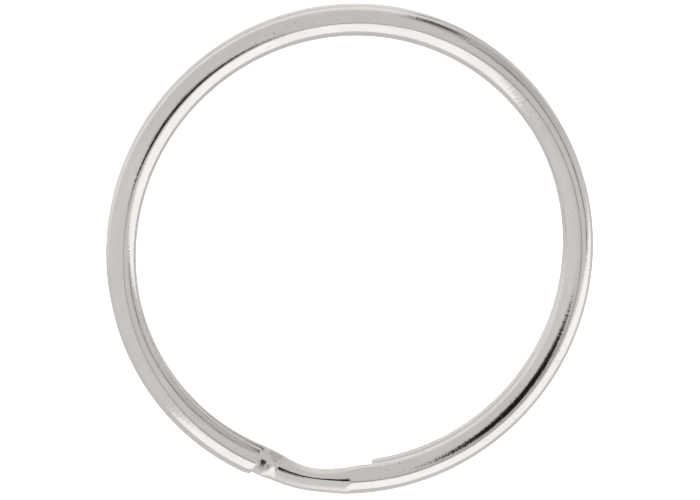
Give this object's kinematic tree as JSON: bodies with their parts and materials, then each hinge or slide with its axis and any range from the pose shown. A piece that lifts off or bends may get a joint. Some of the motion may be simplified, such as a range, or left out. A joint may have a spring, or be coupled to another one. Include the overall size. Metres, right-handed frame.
{
  "type": "split key ring",
  "caption": "Round split key ring of flattened spring wire in two touching turns, with a stepped crossover between its cut ends that spring apart to take keys.",
  "frame": {"origin": "centre of the ring, midway between its two turns", "axes": "+Z along the ring's axis, towards the upper turn; the crossover is on -Y"},
  "size_m": [0.035, 0.035, 0.0024],
  "materials": {
    "nickel_plate": "bright nickel plate on drawn spring steel, slightly satin"
  },
  "bodies": {
    "ring_base": {"crossover": "nickel_plate", "upper_turn_6": "nickel_plate", "upper_turn_7": "nickel_plate", "upper_turn_8": "nickel_plate", "upper_turn_9": "nickel_plate", "upper_turn_10": "nickel_plate", "upper_turn_11": "nickel_plate", "lower_turn_6": "nickel_plate", "lower_turn_7": "nickel_plate", "lower_turn_8": "nickel_plate", "lower_turn_9": "nickel_plate", "lower_turn_10": "nickel_plate", "lower_turn_11": "nickel_plate"},
    "upper_bend_5": {"upper_turn_5": "nickel_plate"},
    "upper_bend_4": {"upper_turn_4": "nickel_plate"},
    "upper_bend_3": {"upper_turn_3": "nickel_plate"},
    "upper_bend_2": {"upper_turn_2": "nickel_plate"},
    "upper_tip": {"upper_free_end": "nickel_plate"},
    "lower_bend_5": {"lower_turn_5": "nickel_plate"},
    "lower_bend_4": {"lower_turn_4": "nickel_plate"},
    "lower_bend_3": {"lower_turn_3": "nickel_plate"},
    "lower_bend_2": {"lower_turn_2": "nickel_plate"},
    "lower_tip": {"lower_free_end": "nickel_plate"}
  },
  "joints": [
    {"name": "upper_end_lift", "type": "hinge", "parent": "ring_base", "child": "upper_bend_5", "pos_m": [-0.00426, 0.01594, 0.00122], "axis": [-1, 0.0057, 0], "range_deg": [0, 2.4], "stiffness_Nm_per_rad": 12.3},
    {"name": "upper_flex_4", "type": "hinge", "parent": "upper_bend_5", "child": "upper_bend_4", "pos_m": [-0.01163, 0.0117, 0.00122], "axis": [-0.9676, -0.2524, 0], "range_deg": [0, 2.16]},
    {"name": "upper_flex_3", "type": "hinge", "parent": "upper_bend_4", "child": "upper_bend_3", "pos_m": [-0.01592, 0.00435, 0.00122], "axis": [-0.8698, -0.4934, 0], "range_deg": [0, 1.76]},
    {"name": "upper_flex_2", "type": "hinge", "parent": "upper_bend_3", "child": "upper_bend_2", "pos_m": [-0.01597, -0.00416, 0.00122], "axis": [-0.7131, -0.701, 0], "range_deg": [0, 1.25]},
    {"name": "upper_flex_1", "type": "hinge", "parent": "upper_bend_2", "child": "upper_tip", "pos_m": [-0.01177, -0.01157, 0.00122], "axis": [-0.5082, -0.8612, 0], "range_deg": [0, 0.6516]},
    {"name": "lower_end_drop", "type": "hinge", "parent": "ring_base", "child": "lower_bend_5", "pos_m": [0.00426, 0.01594, -0.00122], "axis": [1, 0.0057, 0], "range_deg": [0, 2.4], "stiffness_Nm_per_rad": 12.3},
    {"name": "lower_flex_4", "type": "hinge", "parent": "lower_bend_5", "child": "lower_bend_4", "pos_m": [0.01163, 0.0117, -0.00122], "axis": [0.9676, -0.2524, 0], "range_deg": [0, 2.16]},
    {"name": "lower_flex_3", "type": "hinge", "parent": "lower_bend_4", "child": "lower_bend_3", "pos_m": [0.01592, 0.00435, -0.00122], "axis": [0.8698, -0.4934, 0], "range_deg": [0, 1.76]},
    {"name": "lower_flex_2", "type": "hinge", "parent": "lower_bend_3", "child": "lower_bend_2", "pos_m": [0.01597, -0.00416, -0.00122], "axis": [0.7131, -0.701, 0], "range_deg": [0, 1.25]},
    {"name": "lower_flex_1", "type": "hinge", "parent": "lower_bend_2", "child": "lower_tip", "pos_m": [0.01177, -0.01157, -0.00122], "axis": [0.5082, -0.8612, 0], "range_deg": [0, 0.6516]}
  ],
  "couplings": [
    {"joint": "upper_flex_4", "follows": "upper_end_lift", "ratio": 0.8958},
    {"joint": "upper_flex_3", "follows": "upper_end_lift", "ratio": 0.7309},
    {"joint": "upper_flex_2", "follows": "upper_end_lift", "ratio": 0.5166},
    {"joint": "upper_flex_1", "follows": "upper_end_lift", "ratio": 0.2673},
    {"joint": "lower_flex_4", "follows": "lower_end_drop", "ratio": 0.8958},
    {"joint": "lower_flex_3", "follows": "lower_end_drop", "ratio": 0.7309},
    {"joint": "lower_flex_2", "follows": "lower_end_drop", "ratio": 0.5166},
    {"joint": "lower_flex_1", "follows": "lower_end_drop", "ratio": 0.2673}
  ]
}
